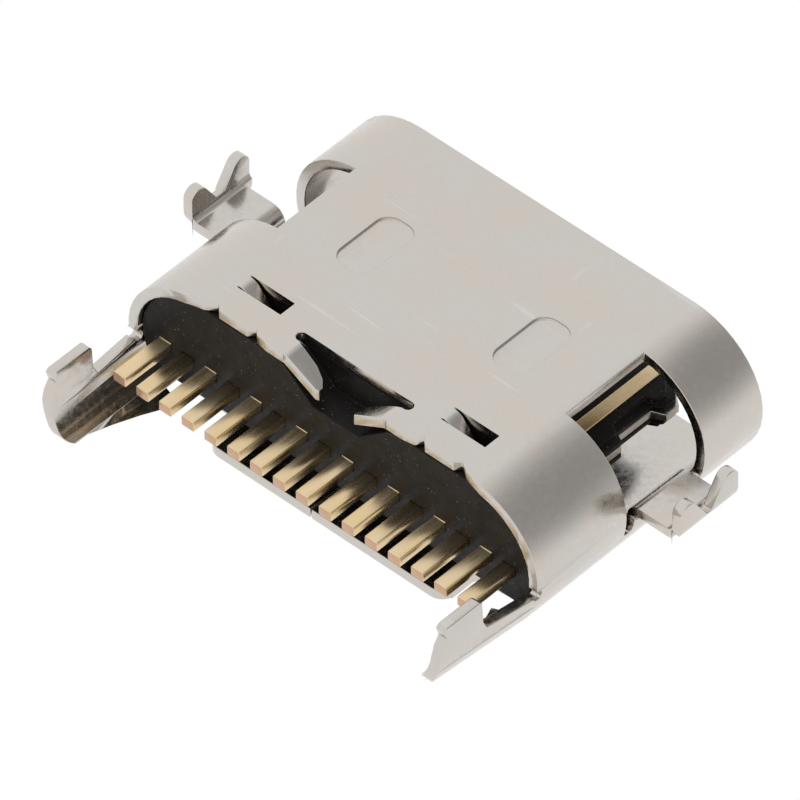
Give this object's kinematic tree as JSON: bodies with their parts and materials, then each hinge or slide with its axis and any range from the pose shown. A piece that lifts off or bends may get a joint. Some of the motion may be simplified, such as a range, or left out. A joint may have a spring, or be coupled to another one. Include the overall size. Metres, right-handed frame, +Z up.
{
  "type": "usb-c socket",
  "caption": "Flat rounded steel shell with a contact tongue in its mouth, four folded soldering legs and a row of gold tails, for a cut-out board edge.",
  "frame": {"origin": "middle of the bounding box's footprint, on the plane that the flat of the shell lies on", "axes": "+X across the socket, +Y out of the plug mouth, +Z up from the flat that the shell lies on to the side that the legs' lobes point to"},
  "size_m": [0.0108, 0.0076, 0.003],
  "materials": {
    "shell_steel": "tumbled, satin",
    "plate_steel": "satin",
    "black_moulding": "glass-filled moulding, semi-matte",
    "contact_gold": "gold plated, satin"
  },
  "bodies": {
    "root": {"shell": "shell_steel", "housing": "black_moulding", "upper_insert": "black_moulding", "lower_insert": "black_moulding", "mid_plate": "plate_steel", "upper_contact_1": "contact_gold", "upper_contact_2": "contact_gold", "upper_contact_3": "contact_gold", "upper_contact_4": "contact_gold", "upper_contact_5": "contact_gold", "upper_contact_6": "contact_gold", "upper_contact_7": "contact_gold", "upper_contact_8": "contact_gold", "lower_contact_1": "contact_gold", "lower_contact_2": "contact_gold", "lower_contact_3": "contact_gold", "lower_contact_4": "contact_gold", "lower_contact_5": "contact_gold", "lower_contact_6": "contact_gold", "lower_contact_7": "contact_gold", "lower_contact_8": "contact_gold"}
  },
  "joints": []
}
